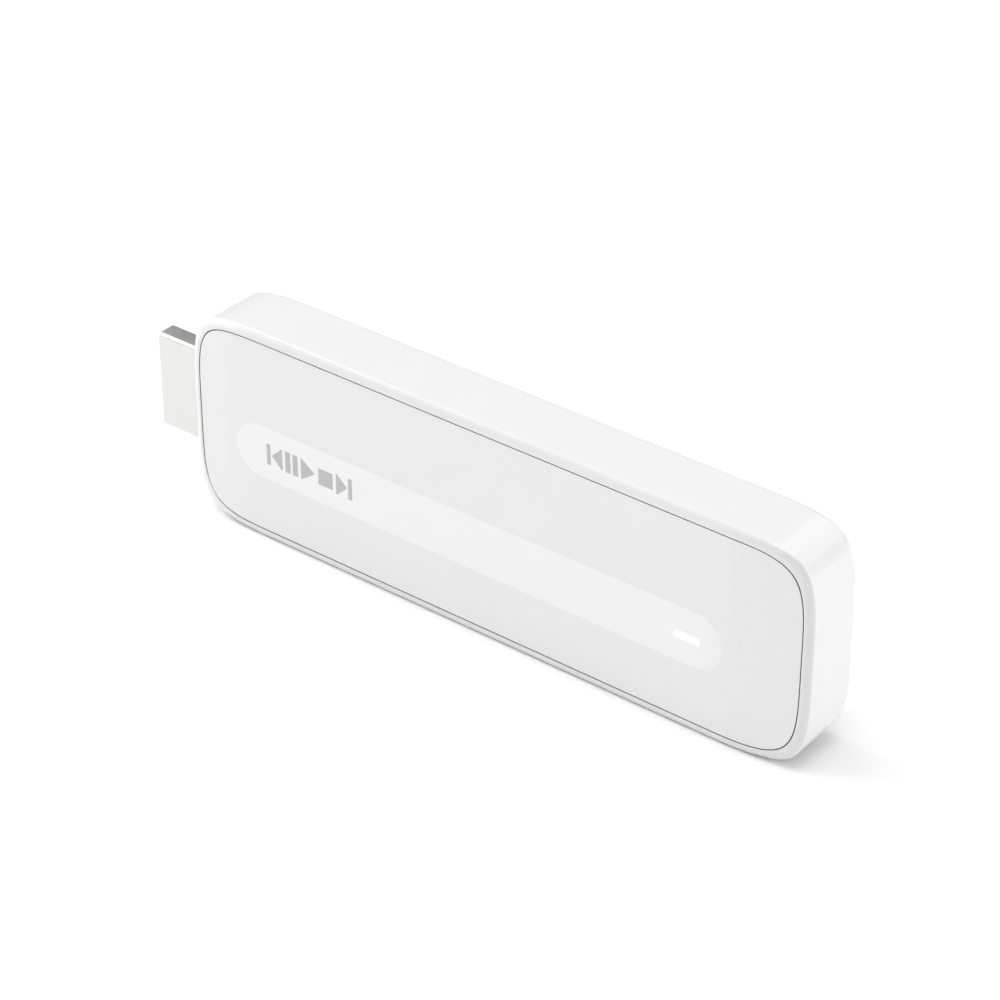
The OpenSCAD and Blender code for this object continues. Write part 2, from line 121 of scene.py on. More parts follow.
def round_loop(centres, radius, steps):
    """A convex loop, anticlockwise: an arc of the given radius round each corner centre, from the normal
    of the edge before it to the normal of the edge after it."""
    centres = np.atleast_2d(np.array(centres, float))
    if len(centres) == 1:
        angles = np.linspace(0, 2 * math.pi, steps, endpoint=False)[None]
    else:
        edges = np.roll(centres, -1, axis=0) - centres
        after = np.arctan2(-edges[:, 0], edges[:, 1])
        before = np.roll(after, 1)
        swing = (after - before) % (2 * math.pi)
        angles = before[:, None] + swing[:, None] * np.linspace(0, 1, steps)
    arms = radius * np.stack([np.cos(angles), np.sin(angles)], axis=-1)
    return (centres[:, None] + arms).reshape(-1, 2)


class Solid:
    """Collects the points and faces of one closed piece, ring by ring."""

    def __init__(self):
        self.points = np.zeros((0, 3))
        self.shade = np.zeros(0)
        self.faces = []

    def add(self, points, shade=0):
        """Adds an array of points and returns their numbers, laid out as the array is. Their shade value,
        from 0 to 1, is how much painted shade darkens their colour in a seam or hollow."""
        points = np.asarray(points, float)
        numbers = len(self.points) + np.arange(points.size // 3).reshape(points.shape[:-1])
        self.points = np.concatenate([self.points, points.reshape(-1, 3)])
        self.shade = np.concatenate([self.shade, np.broadcast_to(shade, numbers.shape).ravel()])
        return numbers

    def band(self, one, other):
        """Quads between two closed rings with the same number of points."""
        quads = np.stack([one, np.roll(one, -1), np.roll(other, -1), other], axis=-1)
        self.faces += quads.tolist()

    def tube(self, rings):
        """Bands from each ring to the next."""
        for one, other in zip(rings, rings[1:]):
            self.band(one, other)

    def cap(self, *rings):
        """A flat face inside the first ring and outside the others, cut into Delaunay triangles in the
        plane of the two axes that it spans most."""
        numbers = np.concatenate(rings)
        points = self.points[numbers] / mm
        axes = np.argsort(np.ptp(points, axis=0))[1:]
        starts = np.cumsum([0] + [len(ring) for ring in rings]).tolist()
        loops = [list(range(first, last)) for first, last in zip(starts, starts[1:])]
        inside_with_holes, closeness = 2, 1e-6
        flat = [Vector(point) for point in points[:, axes]]
        _, _, cut, origins, _, _ = delaunay_2d_cdt(flat, [], loops, inside_with_holes, closeness)
        self.faces += [[int(numbers[origins[i][0]]) for i in triangle] for triangle in cut]

    def make(self, name):
        """The mesh object: unused points dropped, doubles merged, normals outwards, and smooth shading
        that breaks at sharp corners and is elsewhere led by the largest faces."""
        closeness, sharp = 0.0005 * mm, math.radians(34)
        mesh = bpy.data.meshes.new(name)
        mesh.from_pydata(self.points.tolist(), [], self.faces)
        # The points' painted shade goes to the mesh as an attribute that darkens the colour in seams.
        mesh.attributes.new("painted_crevice_shade", "FLOAT", "POINT").data.foreach_set("value", self.shade)
        work = bmesh.new()
        work.from_mesh(mesh)
        bmesh.ops.delete(work, geom=[v for v in work.verts if not v.link_faces], context="VERTS")
        bmesh.ops.remove_doubles(work, verts=work.verts, dist=closeness)
        bmesh.ops.recalc_face_normals(work, faces=work.faces)
        work.to_mesh(mesh)
        work.free()
        mesh.shade_smooth()
        mesh.set_sharp_from_angle(angle=sharp)
        piece = bpy.data.objects.new(name, mesh)
        bpy.context.scene.collection.objects.link(piece)
        piece.modifiers.new("edge_shading", "WEIGHTED_NORMAL").keep_sharp = True
        return piece


def settle(piece, body, slot, finish, *nodes):
    """Gives a new piece its material and its body, and hides the nodes that it stands for. The slot is not
    used.
    """
    piece.data.materials.append(finish)
    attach(piece, body)
    if nodes:
        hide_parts(*nodes)


class Value:
    """A shader socket in a sum: each operator adds the Math node that works it out."""

    def __init__(self, finish, socket):
        self.finish, self.socket = finish, socket

    def math(self, operation, *others):
        sockets = dict(enumerate((self, *others)))
        return self.finish.node("ShaderNodeMath", {"operation": operation}, sockets)

    def __add__(self, other):
        return self.math("ADD", other)

    def __mul__(self, other):
        return self.math("MULTIPLY", other)

    __radd__ = __add__
    __rmul__ = __mul__


class Finish:
    """A material's node tree round one Principled shader."""

    def __init__(self, name, color, roughness, **settings):
        self.material = bpy.data.materials.new(name)
        self.material.use_nodes = True
        self.tree = self.material.node_tree
        self.shader = self.tree.nodes["Principled BSDF"]
        self.put(self.shader, {"Base Color": (*color, 1), "Roughness": roughness, **settings})

    def put(self, node, sockets):
        """Sets each of a node's sockets, by name or number, to a value or to a link."""
        for name, value in sockets.items():
            if isinstance(value, Value):
                self.tree.links.new(value.socket, node.inputs[name])
            else:
                node.inputs[name].default_value = value

    def node(self, kind, settings, sockets, output=0):
        """Adds a node and returns one of its outputs as a Value."""
        made = self.tree.nodes.new(kind)
        for name, value in settings.items():
            setattr(made, name, value)
        self.put(made, sockets)
        return Value(self, made.outputs[output])

    def painted_crevice_shade(self):
        """The piece's own attribute of painted shade: 1 where a seam is painted darkest and 0 in the open."""
        return self.node("ShaderNodeAttribute", {"attribute_name": "painted_crevice_shade"}, {}, "Fac")

    def place(self):
        """Object coordinates, which are the part's own frame in metres."""
        return self.node("ShaderNodeTexCoord", {}, {}, "Object")

    def noise(self, size, detail, stretch=(1, 1, 1)):
        """Noise about 0.5 whose features are size metres across, stretched along the axes."""
        scaled = self.node(
            "ShaderNodeMapping", {}, {"Vector": self.place(), "Scale": [1 / (size * s) for s in stretch]}
        )
        sockets = {"Vector": scaled, "Scale": 1, "Detail": detail}
        return self.node("ShaderNodeTexNoise", {}, sockets, "Fac")

    def blend(self, factor, one, other):
        """Mixes two colours."""
        sockets = {"Factor": factor, 6: self.tint(one), 7: self.tint(other)}
        return self.node("ShaderNodeMix", {"data_type": "RGBA"}, sockets, 2)

    def tint(self, color):
        """A colour as a socket takes it: a link as it is, and red, green and blue with an alpha of 1."""
        return color if isinstance(color, Value) else (*color, 1)

    def use(self, **sockets):
        """Feeds sockets of the shader, with Base_Color standing for Base Color."""
        self.put(self.shader, {name.replace("_", " "): value for name, value in sockets.items()})

    def bump(self, height, depth):
        """Feeds the shader's normal with a bump whose full height is depth metres."""
        sockets = {"Height": height, "Distance": depth, "Strength": 1.0}
        self.use(Normal=self.node("ShaderNodeBump", {}, sockets))


def glossy_white():
    """Moulded ABS from a polished tool: a faint orange peel of 3 mm waves, handling haze that varies
    the gloss, and painted shade that darkens its seams."""
    coat_settings = {"Coat Weight": 0.5, "Coat Roughness": 0.05}
    finish = Finish("glossy_white_abs", (0.75, 0.75, 0.75), 0.2, **coat_settings)
    haze = finish.noise(9 * mm, 4)
    peel = finish.noise(3 * mm, 1)
    fine = finish.noise(0.25 * mm, 2)
    white = finish.blend(haze, (0.743, 0.743, 0.743), (0.757, 0.757, 0.757))
    finish.use(
        # Painted shade: the white turns dark grey where the painted shade attribute is 1.
        Base_Color=finish.blend(finish.painted_crevice_shade(), white, (0.2, 0.2, 0.2)),
        Roughness=haze * 0.08 + 0.18,
    )
    finish.bump(peel * 0.9 + fine * 0.1, 0.004 * mm)
    return finish.material


case_white = glossy_white()

# Arc lengths of the windows' middles: the plug's is half-way round, and the lower side's middle is
# three quarters round.
foot_s = perimeter * 0.75
plug_y = middle("hdmi_plug_shell")[1]
socket_x = middle("power_socket_shell")[0]
button_x, button_y, _ = middle("reset_button")
window_rows = np.linspace(-3.95, 3.25, 19) * mm
inner_edge = 0.15 * mm


def spaced(windows):
    """Arc lengths round the outline, close together in the corners and at the windows, by inverting the
    running sum of the wanted density."""
    s = np.linspace(0, perimeter, fine_steps)
    x = np.interp(s, outline_s, outline_x)
    z = np.interp(s, outline_s, outline_z)
    in_corner = (abs(x) > half_l - corner_zone) & (abs(z) > half_h - corner_zone)
    side_step, corner_step, window_step = 1.1 * mm, 0.32 * mm, 0.22 * mm
    step = np.where(in_corner, corner_step, side_step)
    for centre, reach in windows:
        step = np.where(abs(s - centre) < reach, np.minimum(step, window_step), step)
    run = np.concatenate([[0], np.cumsum((1 / step)[1:] * np.diff(s))])
    return np.interp(np.linspace(0, run[-1], int(run[-1]) + 1)[:-1], run, s)


def plug_loop(grow):
    """The plug's outline as arc length by y from the plug's middle: square on the wide side, which is
    the front, and tapered to the narrow side, with its corners rounded to r."""
    wide, narrow, thick, square, r = 13.9 * mm, 10.9 * mm, 4.45 * mm, 2.6 * mm, 0.5 * mm
    y0, y1, y2 = -thick / 2 + r, -thick / 2 + square, thick / 2 - r
    a, b = wide / 2 - r, narrow / 2 - r
    return round_loop([[-a, y0], [a, y0], [a, y1], [b, y2], [-b, y2], [-a, y1]], r + grow, 9)


def socket_loop(grow):
    """The socket's outline as arc length by y: a stadium."""
    width, thick = 8.94 * mm, 3.16 * mm
    reach = (width - thick) / 2
    return round_loop([[-reach, 0], [reach, 0]], thick / 2 + grow, 33)


def bore_loop(radius):
    """The button's bore as arc length by y: a circle."""
    return round_loop([[0, 0]], radius, 64)


def mouth(loop, clear, edge):
    """Rings of a window, from the outer surface to the inner one: its edge rounded over edge, then a
    straight wall, then a small rounding inside."""
    turn = np.linspace(0, math.pi / 2, 5)
    rings = [(loop(clear + edge * (1 - math.sin(a))), edge * (1 - math.cos(a))) for a in turn]
    rings.append((loop(clear), wall - inner_edge))
    rings.append((loop(clear + inner_edge), wall))
    return rings


def dished_bore():
    """Rings of the button's bore: a spherical finger dish, 6.4 mm across and 0.5 mm deep, and the bore
    in its middle."""
    dish_r, dish_depth, bore, bevel = 3.2 * mm, 0.5 * mm, 1.56 * mm, 0.12 * mm
    ball = (dish_r**2 + dish_depth**2) / (2 * dish_depth)
    radii = np.linspace(dish_r, bore + bevel, 12)
    depths = np.sqrt(ball**2 - radii**2) - (ball - dish_depth)
    lip = [(dish_r + 0.25 * mm, 0), (dish_r + 0.08 * mm, 0.008 * mm)]
    rings = [(bore_loop(r), d) for r, d in lip + list(zip(radii[1:], depths[1:]))]
    rings.append((bore_loop(bore), depths[-1] + bevel))
    rings.append((bore_loop(bore), wall - inner_edge))
    rings.append((bore_loop(bore + inner_edge), wall))
    return rings


def at_angles(loop, angles):
    """Where rays from the middle at these angles cross a loop that they each cross once."""
    own = np.arctan2(loop[:, 1], loop[:, 0])
    order = np.argsort(own)
    own, loop = own[order], loop[order]
    spots = [np.interp(angles, own, loop[:, k], period=2 * math.pi) for k in (0, 1)]
    return np.stack(spots, axis=-1)


def rows(points, lift=0, shade=0):
    """Rows of the shell's profile as depth by y, with how much of the crown moves them and how much
    painted shade darkens them in a seam."""
    points = np.array(points, float)
    return np.column_stack([points, np.full(len(points), lift), np.full(len(points), shade)])


def case_profile():
    """The wall's section from the edge of the back, forwards over the outside and the rim, and backwards
    again up the inside. The back's edge is a circular fillet, and the rim falls outwards as
    rim_drop * (1 - run)^2.3, where run goes from 0 at the outside to 1 at the rim's crest."""
    inner_back = half_t - back_wall
    lip, edge_y, slope_power = 0.05 * mm, -half_t + rim_drop, 2.3
    crest = rim_w - lip
    run = np.linspace(0.06, 1, 13)
    slope = np.stack([crest * run, rim_drop * (1 - run) ** slope_power - half_t], axis=-1)
    turn = np.linspace(0.08, math.pi / 2, 14)
    fillet = np.stack([1 - np.sin(turn), np.cos(turn) - 1], axis=-1) * back_radius
    return np.concatenate([
        rows([(back_radius, half_t)]),
        rows(fillet + (0, half_t)),
        rows([(0, half_t - back_radius - 0.04 * mm)]),
        rows([(0, y) for y in window_rows[::-1]]),
        rows([(0, edge_y + 0.16 * mm)], lift=1),
        rows(bend((0, edge_y + 0.12 * mm), (0, edge_y), slope[0], 5), lift=1),
        rows(slope[1:], lift=1),
        rows(bend((crest, -half_t), (rim_w, -half_t), (rim_w, lip - half_t), 4)[1:], lift=1),
        # Painted shade: the rim's inner wall and the seat behind the seam are darkened in colour.
        rows([(rim_w, lip * 1.5 - half_t)], lift=1, shade=1),
        rows([(rim_w, seat_y), (wall, seat_y)], shade=1),
        rows([(wall, y) for y in window_rows]),
        rows([(wall, inner_back - 0.4 * mm)]),
        rows(bend((wall, inner_back - 0.3 * mm), (wall, inner_back), (wall + 0.3 * mm, inner_back), 4)),
    ])


def flat_ring(loop, y):
    """A loop of x by z set at depth y from the middle of the case."""
    return np.stack([loop[:, 0], np.broadcast_to(y, len(loop)), loop[:, 1]], axis=-1) + case_mid


def case_shell():
    """The outer and inner surfaces as one profile carried round the outline, with each window's patch in
    the place of the faces that it opens, and the two flat caps with the vent slots."""
    inner_back = half_t - back_wall
    profile = case_profile()
    # Each window's arc length and y, how far its patch reaches along the wall, its rings with their
    # clearance and rounded edge, and the depth from which painted shade darkens its wall.
    darkening = 0.1 * mm
    windows = [
        (perimeter / 2, plug_y, 9.0 * mm, mouth(plug_loop, 0.1 * mm, 0.15 * mm), 0.1 * mm),
        (foot_s + socket_x, plug_y, 6.6 * mm, mouth(socket_loop, 0.17 * mm, 0.35 * mm), 0.4 * mm),
        (foot_s + button_x, button_y, 4.4 * mm, dished_bore(), 0.6 * mm),
    ]
    s = spaced([(centre, reach + 0.5 * mm) for centre, _, reach, _, _ in windows])
    solid = Solid()
    fall = crown(np.interp(s, outline_s, outline_x))[:, None] * profile[:, 2]
    grid = solid.add(skin(s[:, None], profile[:, 1] + fall, profile[:, 0]), profile[:, 3])
    shown = np.ones((len(s), len(profile) - 1), bool)
    at_windows = np.isin(profile[:, 1], window_rows)
    out_rows = np.flatnonzero(at_windows & (profile[:, 0] == 0))[::-1]
    in_rows = np.flatnonzero(at_windows & (profile[:, 0] == wall))
    for centre, y, reach, rings, dark in windows:
        i0, i1 = np.searchsorted(s, [centre - reach, centre + reach])
        borders = []
        for up in (out_rows, in_rows):
            shown[i0:i1, up.min():up.max()] = False
            across = grid[i0:i1 + 1]
            borders.append(np.concatenate([
                across[:, up[0]], across[-1, up[1:]], across[-2::-1, up[-1]], across[0, up[-2:0:-1]]
            ]))
        spot_s, spot_y = np.unravel_index(borders[0], (len(s), len(profile)))
        border = np.stack([s[spot_s] - centre, profile[spot_y, 1] - y], axis=-1)
        angles = np.arctan2(border[:, 1], border[:, 0])
        spots = [(at_angles(loop, angles), depth) for loop, depth in rings]
        # Rings that ease from the patch's square border to the window, outside and inside.
        eased = [(border + t * (spots[0][0] - border), 0) for t in (0.35, 0.7, 0.9)]
        inner_eased = [(border + t * (spots[-1][0] - border), wall) for t in (0.9, 0.5)]
        made = []
        for spot, depth in eased + spots + inner_eased:
            # Painted shade: the window's wall darkens in colour from that depth, over darkening.
            shade = np.clip((depth - dark) / darkening, 0, 1)
            made.append(solid.add(skin(centre + spot[:, 0], y + spot[:, 1], depth), shade))
        solid.tube([borders[0], *made, borders[1]])
    onward = np.roll(grid, -1, axis=0)
    quads = np.stack([grid[:, :-1], onward[:, :-1], onward[:, 1:], grid[:, 1:]], axis=-1)
    solid.faces += quads[shown].tolist()

    # Vent slots: stadiums 6 mm high in a row over the heat spreader, with rounded edges.
    slots = []
    pitch, slot_reach, slot_r, edge = 2.8 * mm, 2.5 * mm, 0.5 * mm, 0.2 * mm
    mid_x, _, mid_z = middle("heat_spreader")
    turn = np.linspace(0, math.pi / 2, 4)
    steps = [(edge * (1 - math.sin(a)), half_t - edge * (1 - math.cos(a))) for a in turn]
    for x in mid_x + np.arange(-4, 5) * pitch:
        rings = []
        for grow, y in steps + [(0, inner_back)]:
            ends = [[x, mid_z - slot_reach], [x, mid_z + slot_reach]]
            rings.append(solid.add(flat_ring(round_loop(ends, slot_r + grow, 13), y)))
        solid.tube(rings)
        slots.append(rings)
    solid.cap(grid[:, 0], *[rings[0] for rings in slots])
    solid.cap(grid[:, -1], *[rings[-1] for rings in slots])
    return solid


def lathe(solid, profile, origin, axis, steps):
    """Adds a closed turned shape: profile points, as radius by height, carried round an axis. Its two
    ends are closed by caps."""
    turn = np.linspace(0, 2 * math.pi, steps, endpoint=False)
    axis = np.array(axis, float)
    slanting = [0.3, 0.8, 0.52]
    side = np.cross(axis, slanting)
    side /= np.linalg.norm(side)
    other = np.cross(axis, side)
    spokes = np.cos(turn)[:, None] * side + np.sin(turn)[:, None] * other
    rings = [solid.add(np.array(origin) + r * spokes + h * axis) for r, h in profile]
    solid.tube(rings)
    solid.cap(rings[0])
    solid.cap(rings[-1])


def case_bosses(solid):
    """Adds the four screw bosses: turned posts with a blind pilot hole, sunk in the back wall."""
    post_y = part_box("main_board")[1][1] - case_mid[1]
    foot_y = half_t - back_wall + 0.3 * mm
    low, high = (np.array(corner) - case_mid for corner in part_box("board_screws"))
    head, plug_end_z, far_end_z = 1.5 * mm, 9.4 * mm, 8.4 * mm
    pilot, post, bevel, hole_depth = 0.7 * mm, 2.1 * mm, 0.15 * mm, 2.8 * mm
    profile = [
        (pilot, post_y + hole_depth), (pilot, post_y + bevel), (pilot + bevel, post_y),
        (post - bevel, post_y), (post, post_y + bevel), (post, foot_y),
    ]
    for x, z in [(low[0] + head, plug_end_z), (high[0] - head, far_end_z)]:
        for side in (-1, 1):
            lathe(solid, profile, case_mid + np.array([x, 0, side * z]), (0, 1, 0), 40)


case_solid = case_shell()
case_bosses(case_solid)
settle(case_solid.make("case_shell"), "case", "case_white", case_white, "rear_shell")

# ---------------------------------------------------------------------------------------------
# Front cover: a satin white plate let into the rim with an open seam round it. It is flat but for
# its two ends, which fall away, and it clips in with six tabs. A round-ended pocket in its face
# takes the light strip.
# ---------------------------------------------------------------------------------------------
seam = 0.14 * mm
cover_y = -half_t + 0.03 * mm
cover_back = seat_y
pocket_depth = 0.6 * mm
strip_mid = middle("light_strip")
strip_low, strip_high = (np.array(corner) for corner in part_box("light_strip"))
strip_r = (strip_high - strip_low)[2] / 2
strip_reach = (strip_high - strip_low)[0] / 2 - strip_r
slot_mid = middle("light_pipe")
slot_clear = 0.05 * mm


def slot_loop(grow):
    """The light slot's outline: 3.7 by 1 mm with 0.3 mm corners."""
    r = 0.3 * mm
    a, b = 1.85 * mm - r, 0.5 * mm - r
    centres = slot_mid[[0, 2]] + np.array([[-a, -b], [a, -b], [a, b], [-a, b]])
    return round_loop(centres, r + grow, 7)


def prism(solid, loop, y0, y1, edge):
    """Adds a plate's side: a loop between two depths, its front edge a quarter circle of radius edge.
    Returns the rings, for the caps."""
    turn = np.linspace(0, math.pi / 2, 5)
    rings = [
        solid.add(flat_ring(loop(-edge * (1 - math.sin(a))), y0 + edge * (1 - math.cos(a))))
        for a in turn
    ]
    rings.append(solid.add(flat_ring(loop(0), y1)))
    solid.tube(rings)
    return rings


def cover_plate():
    """The plate: rings eased from the seam's outline to the pocket's, each point paired with the nearest
    point of the pocket's spine, so that the crowned ends have rings across them."""
    solid = Solid()
    s = spaced([])
    depth = rim_w + seam
    edge = 0.05 * mm
    # Painted shade: the cover's edge wall in the seam is darkened in colour, in full at its back ring and the
    # first ring of its edge.
    wall_rings = [solid.add(skin(s, cover_back, depth), 1)]
    for a in np.linspace(0, math.pi / 2, 5):
        points = skin(s, 0, depth + edge * (1 - math.cos(a)))
        points[:, 1] += cover_y + crown(points[:, 0] - case_mid[0]) + edge * (1 - math.sin(a))
        wall_rings.append(solid.add(points, 1 if a == 0 else 0))
    rim = (points - case_mid)[:, [0, 2]]
    spine_x = np.clip(rim[:, 0], strip_mid[0] - strip_reach, strip_mid[0] + strip_reach)
    spine = np.stack([spine_x, np.full(len(rim), strip_mid[2])], axis=-1)
    away = rim - spine
    away /= np.linalg.norm(away, axis=1)[:, None]
    pocket = spine + strip_r * away
    for t in np.concatenate([[0.01], np.linspace(0.04, 1, 18)]):
        loop = rim + t * (pocket - rim)
        wall_rings.append(solid.add(flat_ring(loop, cover_y + crown(loop[:, 0]))))
    wall_rings.append(solid.add(flat_ring(pocket, cover_y + pocket_depth)))
    solid.tube(wall_rings)
    slot = [solid.add(flat_ring(slot_loop(slot_clear), y)) for y in (cover_y + pocket_depth, cover_back)]
    solid.tube(slot)
    solid.cap(wall_rings[-1], slot[0])
    solid.cap(wall_rings[0], slot[1])
    return solid


def block(solid, low, high):
    """Adds a plain box between two corners, measured from the middle of the case."""
    low, high = np.minimum(low, high), np.maximum(low, high)
    square = np.array([[low[0], low[2]], [high[0], low[2]], [high[0], high[2]], [low[0], high[2]]])
    rings = [solid.add(flat_ring(square, y)) for y in (low[1], high[1])]
    solid.tube(rings)
    solid.cap(rings[0])
    solid.cap(rings[1])


def snap_tabs(solid):
    """Adds the six tabs: a tongue behind the cover with a barb at its tip that faces the wall."""
    reach, half_w, thick, barb, barb_reach = 2.2 * mm, 2.5 * mm, 0.9 * mm, 0.35 * mm, 0.6 * mm
    overlap = 0.05 * mm
    face = half_h - wall - 0.1 * mm
    y0, y1 = cover_back - 2 * overlap, cover_back + reach
    for x, side in [(-30, 1), (-6, 1), (14, 1), (-30, -1), (-12, -1), (6, -1)]:
        x0, x1 = x * mm - half_w, x * mm + half_w
        block(solid, np.array([x0, y0, side * (face - thick)]), np.array([x1, y1, side * face]))
        tip = np.array([x0, y1 - barb_reach, side * (face - overlap)])
        block(solid, tip, np.array([x1, y1, side * (face + barb)]))


def satin_white():
    """Moulded ABS from a spark-eroded tool: an even grain of 0.15 mm, a slight unevenness in how
    the grain took, and painted shade that darkens its seam."""
    finish = Finish("satin_white_abs", (0.797, 0.797, 0.797), 0.42)
    cloud = finish.noise(14 * mm, 3)
    grain = finish.noise(0.15 * mm, 2)
    white = finish.blend(grain, (0.789, 0.789, 0.789), (0.805, 0.805, 0.805))
    finish.use(
        # Painted shade: the white turns dark grey where the painted shade attribute is 1.
        Base_Color=finish.blend(finish.painted_crevice_shade(), white, (0.2, 0.2, 0.2)),
        Roughness=cloud * 0.08 + grain * 0.08 + 0.34,
    )
    finish.bump(grain, 0.008 * mm)
    return finish.material


cover_white = satin_white()
cover_solid = cover_plate()
snap_tabs(cover_solid)
settle(cover_solid.make("front_cover_plate"), "case", "cover_white", cover_white, "front_cover")

# ---------------------------------------------------------------------------------------------
# Light strip: a milky polycarbonate inlay, glued flush into the cover's pocket, with a slot near
# its far end for the light.
# ---------------------------------------------------------------------------------------------
strip_y = cover_y - 0.002 * mm


def strip_loop(grow):
    """The light strip's outline, seen from the front: a stadium."""
    x, z = strip_mid[0], strip_mid[2]
    return round_loop([[x - strip_reach, z], [x + strip_reach, z]], strip_r + grow, 49)


def strip_plate():
    """The stadium carried back to the floor of the pocket, with the slot through it: two prisms that
    share their flat faces."""
    solid = Solid()
    glue, tight = 0.01 * mm, 0.01 * mm
    back_y = cover_y + pocket_depth - glue
    outer = prism(solid, lambda grow: strip_loop(grow + tight), strip_y, back_y, 0.002 * mm)
    slot = prism(solid, lambda grow: slot_loop(slot_clear - grow), strip_y, back_y, 0.03 * mm)
    solid.cap(outer[0], slot[0])
    solid.cap(outer[-1], slot[-1])
    return solid


def milky_white():
    """Opal polycarbonate: brighter than the cover, smooth, with faint flow marks along the strip."""
    finish = Finish("milky_polycarbonate", (0.86, 0.86, 0.86), 0.3)
    flow = finish.noise(6 * mm, 3, stretch=(4, 1, 1))
    fine = finish.noise(0.2 * mm, 1)
    finish.use(
        Base_Color=finish.blend(flow, (0.855, 0.855, 0.855), (0.865, 0.865, 0.865)),
        Roughness=flow * 0.06 + fine * 0.04 + 0.26,
    )
    finish.bump(fine * 0.5 + flow, 0.002 * mm)
    return finish.material


strip_white = milky_white()
settle(strip_plate().make("light_strip_inlay"), "case", "strip_white", strip_white, "light_strip")

# ---------------------------------------------------------------------------------------------
# Light window: the clear pipe that fills the slot and carries the status light's glow to the
# front. Its flange is behind the cover and its stem reaches to the light on the board.
# ---------------------------------------------------------------------------------------------
def window_pipe():
    """Three prisms of the slot's outline, one behind the other: the window, the flange, which is grown
    all round, and the stem."""
    solid = Solid()
    flange_y = cover_back + 0.7 * mm
    stem_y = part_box("light_pipe")[1][1] - case_mid[1]
    for grow, y0, y1, edge in [
        (0, -half_t + 0.06 * mm, cover_back + 0.3 * mm, 0.08 * mm),
        (0.8 * mm, cover_back, flange_y, 0.1 * mm),
        (0, flange_y - 0.1 * mm, stem_y, 0.05 * mm),
    ]:
        rings = prism(solid, lambda g, grow=grow: slot_loop(grow + g), y0, y1, edge)
        solid.cap(rings[0])
        solid.cap(rings[-1])
    return solid


def lit_window():
    """Clear polycarbonate with the light behind it: a soft white glow, faintly clouded."""
    finish = Finish("lit_window", (0.9, 0.9, 0.9), 0.25)
    cloud = finish.noise(0.6 * mm, 2)
    finish.use(
        Roughness=cloud * 0.1 + 0.2,
        Emission_Color=finish.blend(cloud, (0.95, 0.95, 0.95), (1, 1, 1)),
        Emission_Strength=0.35,
    )
    finish.bump(cloud, 0.003 * mm)
    return finish.material


settle(window_pipe().make("status_window"), "case", "light_window", lit_window(), "light_pipe")

# ---------------------------------------------------------------------------------------------
# Printed symbols: a row of plain transport signs in grey ink near the plug's end of the strip,
# screen-printed as thin as a film: skip back, pause, play, stop and skip forward.
# ---------------------------------------------------------------------------------------------
def printed_symbols():
    """Flat shapes side by side, each a polygon whose corners are arcs of radius r round centres that
    lie a little inside it."""
    start_x, height, r, ink = -34.8 * mm, 3.2 * mm, 0.08 * mm, 0.012 * mm
    mid_z = strip_mid[2]
    bar, slit, wing, play, square = 0.5 * mm, 0.28 * mm, 1.75 * mm, 2.3 * mm, 2.4 * mm
    pause_bar, pause_slit, gap = 0.75 * mm, 0.5 * mm, 0.6 * mm
    shapes = []

    def box_at(x, width, tall=height):
        """Adds an upright box and returns where it ends."""
        low, top = mid_z - tall / 2, mid_z + tall / 2
        shapes.append([[x, low], [x + width, low], [x + width, top], [x, top]])
        return x + width

    def arrow_at(x, width, way):
        """Adds a triangle that points right where way is 1 and left where it is -1."""
        low, top = mid_z - height / 2, mid_z + height / 2
        base, tip = (x, x + width) if way > 0 else (x + width, x)
        corners = [[base, low], [tip, mid_z], [base, top]]
        shapes.append(corners if way > 0 else corners[::-1])
        return x + width

    x = box_at(start_x, bar)
    x = arrow_at(x + slit, wing, -1)
    x = box_at(x + gap, pause_bar)
    x = box_at(x + pause_slit, pause_bar)
    x = arrow_at(x + gap, play, 1)
    x = box_at(x + gap, square, square)
    x = arrow_at(x + gap, wing, 1)
    box_at(x + slit, bar)
    solid = Solid()
    for corners in shapes:
        corners = np.array(corners)
        inward = corners.mean(axis=0) - corners
        centres = corners + inward * (1.6 * r / np.linalg.norm(inward, axis=1))[:, None]

        def outline(grow, centres=centres):
            """This shape's own outline, for its prism."""
            return round_loop(centres, r + grow, 4)

        rings = prism(solid, outline, strip_y - ink, strip_y, 0.002 * mm)
        solid.cap(rings[0])
        solid.cap(rings[-1])
    return solid


def grey_ink():
    """Silver-grey screen ink: a little metal flake, which varies its tone and its gloss."""
    finish = Finish("grey_ink", (0.46, 0.46, 0.46), 0.45)
    flake = finish.noise(0.08 * mm, 1)
    finish.use(
        Base_Color=finish.blend(flake, (0.455, 0.455, 0.455), (0.525, 0.525, 0.525)),
        Roughness=flake * 0.15 + 0.4,
    )
    finish.bump(flake, 0.002 * mm)
    return finish.material


settle(printed_symbols().make("printed_symbols"), "case", "strip_white", grey_ink())

# ---------------------------------------------------------------------------------------------
# HDMI plug: a folded and rolled shell of bright nickel-plated steel, open at its tip. Inside it are
# the black insulator and the gold blades, which stay as they were designed.
# ---------------------------------------------------------------------------------------------
def plug_tube():
    """The plug's outline carried along its length, grown by so much at each step: the outer face, the
    tip rolled over in two quarter circles of radius lip, the inner face, and a flat rear end."""
    solid = Solid()
    sheet, lip, bevel = 0.3 * mm, 0.14 * mm, 0.02 * mm
    tip, rear = (corner[0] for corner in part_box("hdmi_plug_shell"))
    turn = np.linspace(0, math.pi / 2, 6)
    path = [(rear, -bevel), (rear - bevel, 0), (tip + 2 * mm, 0), (tip + lip * 1.3, 0)]
    path += [(tip + lip * (1 - math.sin(a)), -lip * (1 - math.cos(a))) for a in turn]
    path += [(tip + lip * (1 - math.cos(a)), -sheet + lip * (1 - math.sin(a))) for a in turn]
    path += [(tip + 0.5 * mm, -sheet), (rear, -sheet)]
    rings = []
    for x, grow in path:
        loop = plug_loop(grow)
        z = case_mid[2] - loop[:, 0]
        y = case_mid[1] + plug_y + loop[:, 1]
        rings.append(solid.add(np.stack([np.full(len(loop), x), y, z], axis=-1)))
    solid.tube(rings + rings[:1])
    return solid


